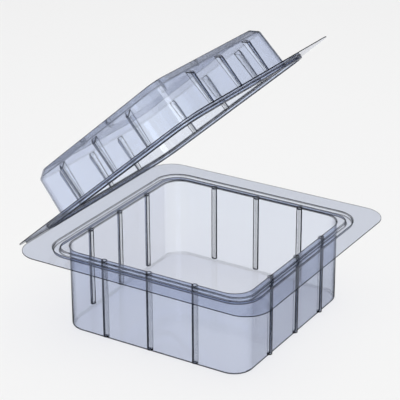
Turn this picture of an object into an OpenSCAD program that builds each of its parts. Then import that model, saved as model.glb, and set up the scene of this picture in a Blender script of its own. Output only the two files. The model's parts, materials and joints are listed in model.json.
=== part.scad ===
// Clear clamshell box for fruit, formed from one thin sheet: a square tub with a broad
// rim, a domed lid, and a crease that hinges them. The origin is the centre of the
// tub's underside, +Z is up and the crease runs along X at the +Y edge.

/* [Sheet] */
// Thickness of the formed sheet
sheet_t = 0.5; // [0.4:0.05:0.7]
// Radius of the sheet's middle line at its bends, apart from those at the base and shoulder
bend_r = 0.7; // [0.5:0.05:0.8]
// Radius of the sheet's middle line between the tub's walls and its base
base_r = 1.5; // [0.7:0.1:1.6]
// Radius of the sheet's middle line on both sides of the dome's shoulder
shoulder_r = 1.5; // [0.7:0.1:2]

/* [Tub] */
// Width of the tub over its walls
tub_w = 123.4; // [110:0.2:140]
// Height of the rim above the ground
tray_h = 52.3; // [35:0.1:80]
// Outer radius of the tub's upright corners
tub_r = 12.3; // [8:0.1:16]

/* [Rim] */
// Width of the ridge between the tub's wall and the snap channel
ridge_w = 4; // [3.2:0.1:8]
// Width of the snap channel
channel_w = 3.6; // [3.4:0.1:6]
// Depth of the snap channel below the rim
channel_d = 2.2; // [2:0.1:4]
// Corner radius of the snap channel's inner wall
channel_r = 11.5; // [8:0.1:14]
// Width of the flat flange outside the snap channel
flange_w = 13.4; // [6:0.1:20]
// Corner radius of the flange's outer edge
flange_r = 16; // [8:0.1:24]

/* [Tub ribs] */
// Ribs on each wall of the tub
tub_ribs = 3; // [1:1:3]
// Spacing of the tub's ribs
tub_rib_pitch = 30.8; // [10:0.1:32]
// How far a tub rib stands out of the wall
tub_rib_d = 2.1; // [1.9:0.1:3]
// Radius of a tub rib's rounded nose
tub_rib_r = 1.75; // [1.2:0.05:1.85]
// Slope of a tub rib's flanks
tub_rib_flare = 12; // [5:1:30]
// Height at which the tub's ribs start
tub_rib_foot = 2; // [2:0.1:10]

/* [Lid] */
// Width of the dome over its walls, at the lid's flange
dome_w = 122; // [112:0.2:123]
// Corner radius of the dome at the lid's flange
dome_r = 14; // [11:0.1:20]
// Height of the dome above the underside of the lid's flange
dome_h = 29.1; // [20:0.1:50]
// How far each wall of the dome leans in on its way up to the shoulder
dome_lean = 1.45; // [0.5:0.05:4]
// Width of the sloping shoulder below the dome's flat top
shoulder_w = 4.65; // [2:0.05:6]
// Height of the sloping shoulder
shoulder_h = 3.9; // [2:0.1:8]
// How far the lid is opened from shut
lid_open = 41.3; // [0:0.1:90]

/* [Lid ribs] */
// Ribs on each wall of the dome
lid_ribs = 3; // [1:1:3]
// Spacing of the dome's ribs
lid_rib_pitch = 31; // [10:0.1:34]
// How far a dome rib's upright nose stands out from the foot of the wall
lid_rib_d = 1.8; // [1:0.1:2.4]
// Radius of a dome rib's rounded nose
lid_rib_r = 1.6; // [1.2:0.05:2]
// Slope of a dome rib's flanks
lid_rib_flare = 23; // [5:1:30]
// How far below the shoulder's plane a dome rib's slanted top lies
lid_rib_drop = 0.6; // [0.6:0.1:3]

/* [Fits] */
// Gap between the two flanges when the box is shut
shut_gap = 0.3; // [0.3:0.05:0.6]
// Side clearance of the snap bead in the channel
bead_clear = 0.5; // [0.4:0.05:0.6]
// Gap under the snap bead when the box is shut
bead_tip_gap = 0.3; // [0.3:0.05:0.6]

/* [Hinge] */
// Distance from the edge of the rim to the crease
hinge_reach = 0.8; // [0.75:0.05:1.2]
// Radius of the rounded fold along the crease
hinge_r = 0.4; // [0.3:0.05:0.4]
// Thickness of the web between the rim and the fold
hinge_web_t = 0.2; // [0.15:0.01:0.24]

/* [Hidden] */
$fn = 64;

// Overlap where two stretches of sheet are joined
lap = 0.5;
// How deep a dome rib's foot is sunk into the flange
sink = 0.1;
// How far a rib's flanks run inside its nose's circle, so that they meet it at an angle
nip = 0.03;
// Reach of a flat stretch's pointed end into the bend that it joins
tip = 0.15;
// Reach of a cutting shape past what it cuts
past = 1;

tub_half = tub_w / 2;
channel_half = tub_half + ridge_w;
channel_out = channel_half + channel_w;
channel_bends = [bend_r, bend_r, bend_r, bend_r];
rim_half = channel_out + flange_w;
tub_c = tub_half - tub_r;
channel_c = channel_half - channel_r;

lid_z = tray_h + shut_gap;
bead_half = channel_half + bead_clear;
bead_out = channel_out - bead_clear;
bead_d = channel_d + shut_gap - bead_tip_gap;

dome_half = dome_w / 2;
dome_c = dome_half - dome_r;
shoulder_half = dome_half - dome_lean;
top_half = shoulder_half - shoulder_w;
shoulder_z = lid_z + dome_h - shoulder_h;
shoulder_slope = shoulder_h / shoulder_w;

hinge_y = rim_half + hinge_reach;
hinge_z = tray_h + shut_gap / 2;
hinge_len = 2 * (rim_half - flange_r);

// ---- A bent sheet, drawn from the corner points of one of its faces ----

function unit(v) = v / norm(v);

function left(v) = [-v[1], v[0]];

function run(p, i) = unit(p[i + 1] - p[i]);

// The points moved sideways by d, to the left of the way that they run.
function shifted(p, d) = [
    for (i = [0 : len(p) - 1])
        let (
            before = left(run(p, max(i - 1, 0))),
            after = left(run(p, min(i, len(p) - 2)))
        )
        p[i] + d * (before + after) / (1 + before * after)
];

// Half the angle inside corner i.
function half_angle(p, i) = acos(-run(p, i - 1) * run(p, i)) / 2;

// How much of each neighbouring run a bend takes up; the two ends have none.
function bend_reach(p, radii, i) =
    i == 0 || i == len(p) - 1 ? 0 : radii[i - 1] / tan(half_angle(p, i));

// A flat stretch, with an end that runs to a point inside the sheet where a bend follows,
// so that the two overlap.
module flat_run(p, radii, i) {
    way = run(p, i);
    edge = left(way) * sheet_t / 2;
    from = p[i] + way * bend_reach(p, radii, i);
    to = p[i + 1] - way * bend_reach(p, radii, i + 1);
    polygon(concat(
        [from + edge],
        i > 0 ? [from - way * tip] : [],
        [from - edge, to - edge],
        i < len(p) - 2 ? [to + way * tip] : [],
        [to + edge]
    ));
}

module bend(p, radii, i) {
    r = radii[i - 1];
    into = p[i] - run(p, i - 1) * bend_reach(p, radii, i);
    out = p[i] + run(p, i) * bend_reach(p, radii, i);
    centre = p[i] + unit(run(p, i) - run(p, i - 1)) * r / sin(half_angle(p, i));
    intersection() {
        translate(centre) difference() {
            circle(r + sheet_t / 2);
            circle(r - sheet_t / 2);
        }
        translate(centre) polygon(2 * [[0, 0], into - centre, p[i] - centre, out - centre]);
    }
}

// Section of a sheet whose face runs through the points, with a bend of the given radius
// at each point between the two ends. The sheet lies to the left of the way that the
// points run, or to the right where side is -1.
module sheet_section(face, radii, side = 1) {
    p = shifted(face, side * sheet_t / 2);
    for (i = [0 : len(p) - 2]) flat_run(p, radii, i);
    for (i = [1 : len(p) - 2]) bend(p, radii, i);
}

// Sweeps a section round a square whose corner centres are c from both axes.
module around(c) {
    for (a = [0 : 90 : 270]) rotate(a) {
        translate([c, c, 0]) rotate([90, 0, 0]) linear_extrude(2 * c) children();
        translate([c, c, 0]) rotate_extrude(angle = 90) children();
    }
}

module rounded_square(half, r) {
    square([2 * half, 2 * (half - r)], center = true);
    square([2 * (half - r), 2 * half], center = true);
    for (x = [-1, 1], y = [-1, 1]) translate([x, y] * (half - r)) circle(r);
}

// Flat sheet between two rounded squares, each given as [half width, corner radius].
module ring_plate(outer, inner) {
    linear_extrude(sheet_t) difference() {
        rounded_square(outer[0], outer[1]);
        rounded_square(inner[0], inner[1]);
    }
}

// ---- Ribs ----

// Plan of a rib on the +X wall: a round nose, and flanks that spread towards the wall.
module rib_plan(nose_x, r, flare, base_x) {
    touch_x = nose_x + (r - nip) * sin(flare);
    touch_y = (r - nip) * cos(flare);
    base_y = touch_y + (touch_x - base_x) * tan(flare);
    translate([nose_x, 0]) circle(r);
    polygon([[base_x, -base_y], [touch_x, -touch_y], [touch_x, touch_y], [base_x, base_y]]);
}

module on_each_wall(count, pitch) {
    for (a = [0 : 90 : 270], i = [0 : count - 1])
        rotate(a) translate([0, (i - (count - 1) / 2) * pitch, 0]) children();
}

module tub_rib(r, base_x, low, high) {
    translate([0, 0, low]) linear_extrude(high - low)
        rib_plan(tub_half + tub_rib_d - tub_rib_r, r, tub_rib_flare, base_x);
}

// Height of the shoulder's outer plane at x, also where it runs on past the wall.
function shoulder_plane(x) = shoulder_z - (x - shoulder_half) * shoulder_slope;

// Dome rib from low up to a slanted top that lies drop below the shoulder's plane. Its
// wall side lies at base_foot at the flange and at base_top at the shoulder.
module lid_rib(r, base_foot, base_top, low, drop) {
    nose_x = dome_half + lid_rib_d - lid_rib_r;
    far_x = nose_x + lid_rib_r + past;
    wide = 2 * (lid_rib_r + lid_rib_d + past) + 2 * dome_lean;
    intersection() {
        translate([0, 0, low]) linear_extrude(dome_h + past)
            rib_plan(nose_x, r, lid_rib_flare, base_top);
        rotate([90, 0, 0]) linear_extrude(wide, center = true) polygon([
            [base_foot, low],
            [far_x, low],
            [far_x, shoulder_plane(far_x) - drop],
            [base_top, shoulder_plane(base_top) - drop]
        ]);
    }
}

// ---- Tray ----

module tub_shell() {
    under = tray_h - sheet_t;
    around(tub_c) sheet_section([
        [0, 0],
        [tub_r, 0],
        [tub_r, under],
        [tub_r + bend_r + lap, under]
    ], [base_r, bend_r]);
    translate([-tub_c, -tub_c, 0]) cube([2 * tub_c, 2 * tub_c, sheet_t]);
}

module snap_channel() {
    under = tray_h - sheet_t;
    near_x = channel_r - sheet_t;
    far_x = channel_r + channel_w + sheet_t;
    around(channel_c) sheet_section([
        [near_x - bend_r - lap, under],
        [near_x, under],
        [near_x, under - channel_d],
        [far_x, under - channel_d],
        [far_x, under],
        [far_x + bend_r + lap, under]
    ], channel_bends);
}

module tray_rim() {
    near = sheet_t + bend_r;
    translate([0, 0, tray_h - sheet_t]) {
        ring_plate(
            [channel_half - near, channel_r - near],
            [tub_half + bend_r, tub_r + bend_r]
        );
        ring_plate(
            [rim_half, flange_r],
            [channel_out + near, channel_r + channel_w + near]
        );
    }
}

module tray() {
    color([0.72, 0.76, 0.84, 0.45]) difference() {
        union() {
            tub_shell();
            snap_channel();
            tray_rim();
            on_each_wall(tub_ribs, tub_rib_pitch)
                tub_rib(tub_rib_r, tub_half - sheet_t / 2, tub_rib_foot, tray_h - sheet_t / 2);
        }
        on_each_wall(tub_ribs, tub_rib_pitch) tub_rib(
            tub_rib_r - sheet_t,
            tub_half - sheet_t - past,
            tub_rib_foot + sheet_t,
            tray_h - sheet_t - bend_r
        );
    }
}

// ---- Lid, drawn shut ----

module dome_shell() {
    top = lid_z + dome_h;
    over = lid_z + sheet_t;
    around(dome_c) sheet_section([
        [0, top],
        [top_half - dome_c, top],
        [shoulder_half - dome_c, shoulder_z],
        [dome_r, over],
        [dome_r + bend_r + lap, over]
    ], [shoulder_r, shoulder_r, bend_r], side = -1);
    translate([-dome_c, -dome_c, top - sheet_t]) cube([2 * dome_c, 2 * dome_c, sheet_t]);
}

module snap_bead() {
    near_x = bead_half - channel_c;
    far_x = bead_out - channel_c;
    around(channel_c) sheet_section([
        [near_x - bend_r - lap, lid_z],
        [near_x, lid_z],
        [near_x, lid_z - bead_d],
        [far_x, lid_z - bead_d],
        [far_x, lid_z],
        [far_x + bend_r + lap, lid_z]
    ], channel_bends);
}

module lid_rim() {
    translate([0, 0, lid_z]) {
        ring_plate(
            [bead_half - bend_r, bead_half - bend_r - channel_c],
            [dome_half + bend_r, dome_r + bend_r]
        );
        ring_plate(
            [rim_half, flange_r],
            [bead_out + bend_r, bead_out + bend_r - channel_c]
        );
    }
}

module shut_lid() {
    slant = sqrt(1 + shoulder_slope * shoulder_slope);
    inside = shoulder_half - sheet_t - past;
    difference() {
        union() {
            dome_shell();
            snap_bead();
            lid_rim();
            on_each_wall(lid_ribs, lid_rib_pitch) lid_rib(
                lid_rib_r,
                dome_half - sheet_t / 2,
                shoulder_half - sheet_t / 2,
                lid_z + sheet_t - sink,
                lid_rib_drop
            );
        }
        on_each_wall(lid_ribs, lid_rib_pitch) lid_rib(
            lid_rib_r - sheet_t,
            inside,
            inside,
            lid_z - past,
            lid_rib_drop + sheet_t * slant
        );
    }
}

module lid() {
    color([0.8, 0.84, 0.9, 0.45])
        translate([0, hinge_y, hinge_z]) rotate([-lid_open, 0, 0])
            translate([0, -hinge_y, -hinge_z]) shut_lid();
}

// ---- Crease ----

module living_hinge() {
    color([0.6, 0.65, 0.74, 0.6])
        rotate([90, 0, 90]) linear_extrude(hinge_len, center = true) {
            translate([hinge_y, hinge_z]) circle(hinge_r);
            translate([rim_half, tray_h - hinge_web_t]) square([hinge_reach, hinge_web_t]);
        }
}

tray();
lid();
living_hinge();
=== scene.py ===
"""Looks for the clear clamshell fruit box: clear formed sheet, crease, floor, light, camera."""

import json
import math

import bpy
from mathutils import Matrix, Vector

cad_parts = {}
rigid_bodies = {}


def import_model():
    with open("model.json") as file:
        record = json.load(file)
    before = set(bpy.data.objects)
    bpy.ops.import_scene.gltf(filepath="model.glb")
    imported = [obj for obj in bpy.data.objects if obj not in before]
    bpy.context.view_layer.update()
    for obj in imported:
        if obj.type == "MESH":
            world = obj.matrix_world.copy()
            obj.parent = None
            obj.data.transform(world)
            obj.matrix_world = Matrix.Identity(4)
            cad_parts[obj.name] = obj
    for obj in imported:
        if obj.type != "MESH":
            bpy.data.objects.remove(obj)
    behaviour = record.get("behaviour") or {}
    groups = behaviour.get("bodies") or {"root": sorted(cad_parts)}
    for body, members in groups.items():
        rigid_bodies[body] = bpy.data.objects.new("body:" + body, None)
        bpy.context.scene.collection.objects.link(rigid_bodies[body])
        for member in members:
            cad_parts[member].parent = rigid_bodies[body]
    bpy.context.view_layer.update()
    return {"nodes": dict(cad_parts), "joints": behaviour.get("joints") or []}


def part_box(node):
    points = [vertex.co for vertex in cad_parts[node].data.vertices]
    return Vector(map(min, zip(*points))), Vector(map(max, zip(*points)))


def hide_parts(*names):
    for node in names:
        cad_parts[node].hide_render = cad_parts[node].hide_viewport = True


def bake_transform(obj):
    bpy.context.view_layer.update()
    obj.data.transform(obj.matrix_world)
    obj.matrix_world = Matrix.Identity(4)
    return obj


MM = 0.001


def empty_scene():
    """Takes away what Blender starts with."""
    for obj in list(bpy.data.objects):
        bpy.data.objects.remove(obj, do_unlink=True)


empty_scene()
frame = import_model()


# ---- The camera -------------------------------------------------------------------------

CAMERA_AT = (-764.0 * MM, -466.8 * MM, 468.5 * MM)
CAMERA_YAW = math.radians(31.62)     # from +X towards +Y
CAMERA_PITCH = math.radians(-23.80)  # below the horizon
CAMERA_ROLL = math.radians(-0.26)
CAMERA_SENSOR = 36.0                 # in mm, as Blender counts it
CAMERA_LENS = 148.1                  # in mm too
CLIP_NEAR = 50.0 * MM
CLIP_FAR = 50.0


def add_camera():
    """The photograph's view of the box."""
    data = bpy.data.cameras.new("camera")
    data.sensor_width = CAMERA_SENSOR
    data.lens = CAMERA_LENS
    data.clip_start = CLIP_NEAR
    data.clip_end = CLIP_FAR
    camera = bpy.data.objects.new("camera", data)
    bpy.context.collection.objects.link(camera)
    forward = Vector((
        math.cos(CAMERA_PITCH) * math.cos(CAMERA_YAW),
        math.cos(CAMERA_PITCH) * math.sin(CAMERA_YAW),
        math.sin(CAMERA_PITCH),
    ))
    right = forward.cross(Vector((0, 0, 1))).normalized()
    up = right.cross(forward)
    right, up = (
        right * math.cos(CAMERA_ROLL) + up * math.sin(CAMERA_ROLL),
        up * math.cos(CAMERA_ROLL) - right * math.sin(CAMERA_ROLL),
    )
    camera.matrix_world = Matrix((
        (right.x, up.x, -forward.x, CAMERA_AT[0]),
        (right.y, up.y, -forward.y, CAMERA_AT[1]),
        (right.z, up.z, -forward.z, CAMERA_AT[2]),
        (0, 0, 0, 1),
    ))
    bpy.context.scene.camera = camera


# ---- Shader nodes -----------------------------------------------------------------------

def node_tree(name):
    """A new material and its node tree, which starts empty."""
    material = bpy.data.materials.new(name)
    material.use_nodes = True
    tree = material.node_tree
    tree.nodes.clear()
    return material, tree


def add_node(tree, kind, **values):
    """A node with its sockets' values and its plain settings, each by name."""
    node = tree.nodes.new(kind)
    for key, value in values.items():
        if key in node.inputs:
            node.inputs[key].default_value = value
        else:
            setattr(node, key, value)
    return node


def noise_at(tree, scale, detail, roughness=0.5):
    """Noise that is fixed to the piece, with its scale in cycles per metre."""
    place = add_node(tree, "ShaderNodeTexCoord")
    noise = add_node(tree, "ShaderNodeTexNoise", Scale=scale, Detail=detail, Roughness=roughness)
    tree.links.new(place.outputs["Object"], noise.inputs["Vector"])
    return noise.outputs["Fac"]


def mapped(tree, source, from_range, to_range):
    """The source's value, carried from one range to the other and kept within it."""
    node = add_node(tree, "ShaderNodeMapRange")
    node.inputs["From Min"].default_value, node.inputs["From Max"].default_value = from_range
    node.inputs["To Min"].default_value, node.inputs["To Max"].default_value = to_range
    tree.links.new(source, node.inputs["Value"])
    return node.outputs["Result"]


def shades(tree, source, stops):
    """The source's value turned into a colour by its stops, (value, colour) from low to high."""
    node = add_node(tree, "ShaderNodeValToRGB")
    ramp = node.color_ramp
    ramp.elements[0].position, ramp.elements[1].position = stops[0][0], stops[-1][0]
    ramp.elements[0].color = (*stops[0][1], 1.0)
    ramp.elements[1].color = (*stops[-1][1], 1.0)
    for at, colour in stops[1:-1]:
        ramp.elements.new(at).color = (*colour, 1.0)
    tree.links.new(source, node.inputs["Fac"])
    return node.outputs["Color"]


def mixed(tree, factor, first, second, blend="MIX"):
    """Two colours mixed. Each of the three may be a socket or a plain value."""
    node = add_node(tree, "ShaderNodeMix", data_type="RGBA", blend_type=blend)
    colours = [socket for socket in node.inputs if socket.type == "RGBA"]
    sockets = (node.inputs["Factor"], *colours)
    for value, socket in zip((factor, first, second), sockets, strict=True):
        if isinstance(value, bpy.types.NodeSocket):
            tree.links.new(value, socket)
        else:
            socket.default_value = value
    return next(socket for socket in node.outputs if socket.type == "RGBA")


# ---- The sheet --------------------------------------------------------------------------

SHEET_IOR = 1.5
# Light that the sheet lets by in a straight line, from the lamps to the floor behind it.
LAMP_COLOUR = (0.99, 0.99, 0.995, 1.0)
# Colour and density of the plastic's tint.
TINT = (0.50, 0.56, 0.70, 1.0)
TINT_DENSITY = 60.0

# Low waves all over the sheet, and a faint uneven haze.
WAVE_SCALE = 70.0
WAVE_DETAIL = 1.0
WAVE_STRENGTH = 0.15
WAVE_HEIGHT = 0.2 * MM
HAZE_SCALE = 120.0
HAZE_DETAIL = 5.0
HAZE_ROUGHNESS = 0.6
HAZE_NOISE = (0.35, 0.75)  # the noise's range that is used
HAZE = (0.02, 0.07)        # the shader's roughness over that range

# At this blend, Layer Weight's Facing is 1 less the cosine of the slant.
SLANT_BLEND = 0.5
# Colour that one face of the sheet lets by, from a square look (0) to one along it (1). It
# falls with the slant, partly as the real tint of a longer path and partly as painted shade:
# the dip from 0.71 to 0.80 paints faces seen at that slant dark. It comes back where the
# face mirrors more than it lets through.
SLANT_TINT_AND_PAINTED_SHADE = (
    (0.00, (0.938, 0.960, 1.0)),
    (0.40, (0.920, 0.940, 0.992)),
    (0.50, (0.835, 0.852, 0.915)),
    (0.62, (0.815, 0.835, 0.885)),
    (0.71, (0.56, 0.57, 0.60)),
    (0.80, (0.58, 0.59, 0.62)),
    (0.89, (0.84, 0.85, 0.88)),
    (1.00, (0.95, 0.95, 0.97)),
)

# Painted shade at bends, which look dark because they throw light aside: the colour is
# multiplied by these tones, from a flat (0) to a sharp corner. Its reach is less than the
# sheet's thickness, so that one face doesn't feel the other.
BEND_REACH = 0.45 * MM
BEND_SAMPLES = 4
BEND_PAINTED_SHADES = ((0.0, 1.0), (0.035, 1.0), (0.10, 0.36), (0.25, 0.28), (0.42, 0.03), (1.0, 0.03))

# A deep tray is drawn thinnest at its base, so its colour pales from this height down, until
# the thin sheet's colour has this share at the base.
DRAWN_FROM = 45.0 * MM
DRAWN_SHARE = 0.6
DRAWN_COLOUR = (0.965, 0.975, 1.0, 1.0)


def painted_bend_shade(tree):
    """Painted shade by how far the surface turns within the bends' reach."""
    here = add_node(tree, "ShaderNodeNewGeometry")
    near = add_node(tree, "ShaderNodeBevel", samples=BEND_SAMPLES, Radius=BEND_REACH)
    turn = add_node(tree, "ShaderNodeVectorMath", operation="DISTANCE")
    tree.links.new(here.outputs["Normal"], turn.inputs[0])
    tree.links.new(near.outputs["Normal"], turn.inputs[1])
    stops = tuple((at, (tone, tone, tone)) for at, tone in BEND_PAINTED_SHADES)
    return shades(tree, turn.outputs["Value"], stops)


def sheet_colour(tree, drawn_deep):
    """The sheet's colour by its slant (real tint and painted shade), with painted shade at its
    bends, and by its height where it's drawn deep.
    """
    slant = add_node(tree, "ShaderNodeLayerWeight", Blend=SLANT_BLEND)
    # The slant's colour: the real tint of a longer path, and painted shade at steep slants.
    colour = shades(tree, slant.outputs["Facing"], SLANT_TINT_AND_PAINTED_SHADE)
    if drawn_deep:
        place = add_node(tree, "ShaderNodeTexCoord")
        height = add_node(tree, "ShaderNodeSeparateXYZ")
        tree.links.new(place.outputs["Object"], height.inputs[0])
        thinned = mapped(tree, height.outputs["Z"], (0.0, DRAWN_FROM), (DRAWN_SHARE, 0.0))
        colour = mixed(tree, thinned, colour, DRAWN_COLOUR)
    # Painted shade at the bends darkens the colour.
    return mixed(tree, 1.0, colour, painted_bend_shade(tree), "MULTIPLY")


def clear_sheet(name, drawn_deep=False):
    """Clear formed plastic: tinted glass that lets the lamps' light through to the floor."""
    material, tree = node_tree(name)
    link = tree.links.new
    waves = add_node(tree, "ShaderNodeBump", Strength=WAVE_STRENGTH, Distance=WAVE_HEIGHT)
    link(noise_at(tree, WAVE_SCALE, WAVE_DETAIL), waves.inputs["Height"])
    haze_noise = noise_at(tree, HAZE_SCALE, HAZE_DETAIL, HAZE_ROUGHNESS)
    sheet = add_node(tree, "ShaderNodeBsdfGlass", IOR=SHEET_IOR)
    link(sheet_colour(tree, drawn_deep), sheet.inputs["Color"])
    link(mapped(tree, haze_noise, HAZE_NOISE, HAZE), sheet.inputs["Roughness"])
    link(waves.outputs["Normal"], sheet.inputs["Normal"])

    lamp_way = add_node(tree, "ShaderNodeBsdfTransparent", Color=LAMP_COLOUR)
    ray = add_node(tree, "ShaderNodeLightPath")
    unbent = add_node(tree, "ShaderNodeMath", operation="MAXIMUM")
    link(ray.outputs["Is Shadow Ray"], unbent.inputs[0])
    link(ray.outputs["Is Diffuse Ray"], unbent.inputs[1])
    surface = add_node(tree, "ShaderNodeMixShader")
    link(unbent.outputs["Value"], surface.inputs["Fac"])
    link(sheet.outputs["BSDF"], surface.inputs[1])
    link(lamp_way.outputs["BSDF"], surface.inputs[2])

    stain = add_node(tree, "ShaderNodeVolumeAbsorption", Color=TINT, Density=TINT_DENSITY)
    out = add_node(tree, "ShaderNodeOutputMaterial")
    link(surface.outputs["Shader"], out.inputs["Surface"])
    link(stain.outputs["Volume"], out.inputs["Volume"])
    return material


# ---- The crease -------------------------------------------------------------------------

CREASE_FOLD_R = 0.25 * MM  # radius of the fold's middle line
CREASE_THICK = 0.3 * MM
CREASE_EMBED = 0.05 * MM   # how far the web's ends are sunk into the two rims
CREASE_TURNS = 14          # steps round the fold
CREASE_STEPS = 40          # steps along the crease


def crease_line(axis_y, axis_z, rim_y, opened):
    """The crease's middle line across it, as (y, z) points with their outward normals."""
    web = axis_y - rim_y + CREASE_EMBED
    line = [((axis_y - web, axis_z - CREASE_FOLD_R), (0.0, -1.0))]
    first, last = -math.pi / 2, math.pi / 2 - opened
    for i in range(CREASE_TURNS + 1):
        angle = first + (last - first) * i / CREASE_TURNS
        normal = (math.cos(angle), math.sin(angle))
        point = (axis_y + CREASE_FOLD_R * normal[0], axis_z + CREASE_FOLD_R * normal[1])
        line.append((point, normal))
    (end_y, end_z), (normal_y, normal_z) = line[-1]
    line.append(((end_y - web * normal_z, end_z + web * normal_y), (normal_y, normal_z)))
    return line


def swept_mesh(name, line, from_x, to_x):
    """A closed sheet with the line as its middle, swept along X."""
    half = CREASE_THICK / 2
    ring = [(point, normal, half) for point, normal in line]
    ring += [(point, normal, -half) for point, normal in reversed(line)]
    count = len(ring)
    verts, faces = [], []
    for i in range(CREASE_STEPS + 1):
        x = from_x + (to_x - from_x) * i / CREASE_STEPS
        for (y, z), (normal_y, normal_z), out in ring:
            verts.append((x, y + normal_y * out, z + normal_z * out))
    for i in range(CREASE_STEPS):
        for j in range(count):
            a, b = i * count + j, i * count + (j + 1) % count
            faces.append((a, b, b + count, a + count))
    faces.append(tuple(reversed(range(count))))
    faces.append(tuple(CREASE_STEPS * count + j for j in range(count)))
    mesh = bpy.data.meshes.new(name)
    mesh.from_pydata(verts, [], faces)
    mesh.validate()
    mesh.update()
    return mesh


def add_crease(material):
    """The thin web that bends from the tray's rim round the hinge's axis to the lid's rim."""
    joint = frame["joints"][0]
    axis_y, axis_z = joint["pos_m"][1], joint["pos_m"][2]
    opened = math.radians(-joint["range_deg"][0])
    low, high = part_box("living_hinge")
    line = crease_line(axis_y, axis_z, low[1], opened)
    mesh = swept_mesh("crease", line, low[0], high[0])
    mesh.materials.append(material)
    crease = bpy.data.objects.new("crease", mesh)
    bpy.context.collection.objects.link(crease)
    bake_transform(crease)
    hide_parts("living_hinge")


# ---- Floor and light --------------------------------------------------------------------

FLOOR_HALF = 20.0       # half its side, in metres
FLOOR_DROP = 0.2 * MM   # below the box, so that the two don't flicker
FLOOR_TONE = 0.85
FLOOR_ROUGHNESS = 0.9
FLOOR_GLOSS = 0.1
# Painted shade on the floor, shown in reflections alone: dark near the box, centred before it
# # on the camera's side, and fading into the floor further out.
MIRRORED_SHADE_TONE = 0.03
MIRRORED_SHADE_AT = (-60.0 * MM, -60.0 * MM, 0.0)
MIRRORED_SHADE_FADE = (130.0 * MM, 250.0 * MM)


def pale_floor(name):
    """Pale and even. In reflections alone it shows a painted shade near the box that fades into
    the floor.
    """
    material, tree = node_tree(name)
    link = tree.links.new
    place = add_node(tree, "ShaderNodeTexCoord")
    distance = add_node(tree, "ShaderNodeVectorMath", operation="DISTANCE")
    link(place.outputs["Object"], distance.inputs[0])
    distance.inputs[1].default_value = MIRRORED_SHADE_AT
    # Painted shade near the box, which only mirrored rays see.
    mirrored_shade = mapped(tree, distance.outputs["Value"], MIRRORED_SHADE_FADE, (MIRRORED_SHADE_TONE, FLOOR_TONE))

    # A ray's glossy depth is a whole number, and 0 for what is seen without a mirror.
    ray = add_node(tree, "ShaderNodeLightPath")
    mirrored = add_node(tree, "ShaderNodeMath", operation="GREATER_THAN")
    link(ray.outputs["Glossy Depth"], mirrored.inputs[0])
    mirrored.inputs[1].default_value = 0.5
    seen = add_node(tree, "ShaderNodeMix", data_type="FLOAT")
    link(mirrored.outputs["Value"], seen.inputs["Factor"])
    seen.inputs["A"].default_value = FLOOR_TONE
    link(mirrored_shade, seen.inputs["B"])

    paint = add_node(tree, "ShaderNodeBsdfPrincipled", Roughness=FLOOR_ROUGHNESS)
    paint.inputs["Specular IOR Level"].default_value = FLOOR_GLOSS
    link(seen.outputs["Result"], paint.inputs["Base Color"])
    out = add_node(tree, "ShaderNodeOutputMaterial")
    link(paint.outputs["BSDF"], out.inputs["Surface"])
    return material


def add_floor():
    """A wide flat floor just under the box."""
    half = FLOOR_HALF
    corners = [(-half, -half, 0), (half, -half, 0), (half, half, 0), (-half, half, 0)]
    mesh = bpy.data.meshes.new("floor")
    mesh.from_pydata(corners, [], [(0, 1, 2, 3)])
    mesh.materials.append(pale_floor("pale_floor"))
    floor = bpy.data.objects.new("floor", mesh)
    floor.location.z = -FLOOR_DROP
    bpy.context.collection.objects.link(floor)


WORLD_COLOUR = (0.95, 0.97, 1.0, 1.0)
WORLD_STRENGTH = 0.02
# Each lamp's name, place, target, size and watts, and whether it shows in the sheet alone
# or lights the floor alone.
LAMPS = (
    ("overhead", (0, 0, 3.0), (0, 0, 0), (4.0, 4.0), 150, False),
    ("front", (-1.7, -1.5, 1.45), (0, 0, 0.08), (1.4, 1.6), 20, True),
    ("back", (1.95, 1.2, 1.02), (0, 0, 0.05), (1.2, 0.8), 1.2, True),
)


def add_soft_light(name, at, target, size, power, in_sheet):
    """A wide lamp that shows in the sheet alone, or else lights the floor alone."""
    data = bpy.data.lights.new(name, "AREA")
    data.shape = "RECTANGLE"
    data.size, data.size_y = size
    data.energy = power
    lamp = bpy.data.objects.new(name, data)
    bpy.context.collection.objects.link(lamp)
    lamp.location = at
    aim = Vector(target) - Vector(at)
    lamp.rotation_euler = aim.to_track_quat("-Z", "Y").to_euler()
    lamp.visible_diffuse = not in_sheet
    lamp.visible_glossy = in_sheet
    lamp.visible_transmission = in_sheet


def add_light():
    """A dim even surround and three soft lamps."""
    world = bpy.data.worlds.new("studio")
    bpy.context.scene.world = world
    world.use_nodes = True
    background = world.node_tree.nodes["Background"]
    background.inputs["Color"].default_value = WORLD_COLOUR
    background.inputs["Strength"].default_value = WORLD_STRENGTH
    for lamp in LAMPS:
        add_soft_light(*lamp)


# Bounces that light needs to pass both walls of the tray and the lid, and their bends.
SHEET_BOUNCES = 40
MIRROR_BOUNCES = 8
UNBENT_BOUNCES = 64


def set_view():
    """Plain colours, and enough bounces for light to pass many layers of sheet."""
    scene = bpy.context.scene
    scene.view_settings.view_transform = "Standard"
    scene.cycles.max_bounces = SHEET_BOUNCES
    scene.cycles.transmission_bounces = SHEET_BOUNCES
    scene.cycles.glossy_bounces = MIRROR_BOUNCES
    scene.cycles.transparent_max_bounces = UNBENT_BOUNCES
    scene.cycles.use_denoising = True


# ---- The scene --------------------------------------------------------------------------

add_camera()
set_view()
add_light()
add_floor()

for node, drawn_deep in (("tray", True), ("lid", False)):
    part = frame["nodes"][node]
    part.material_slots[0].material = clear_sheet(f"{node}_sheet", drawn_deep)
add_crease(clear_sheet("crease_sheet"))
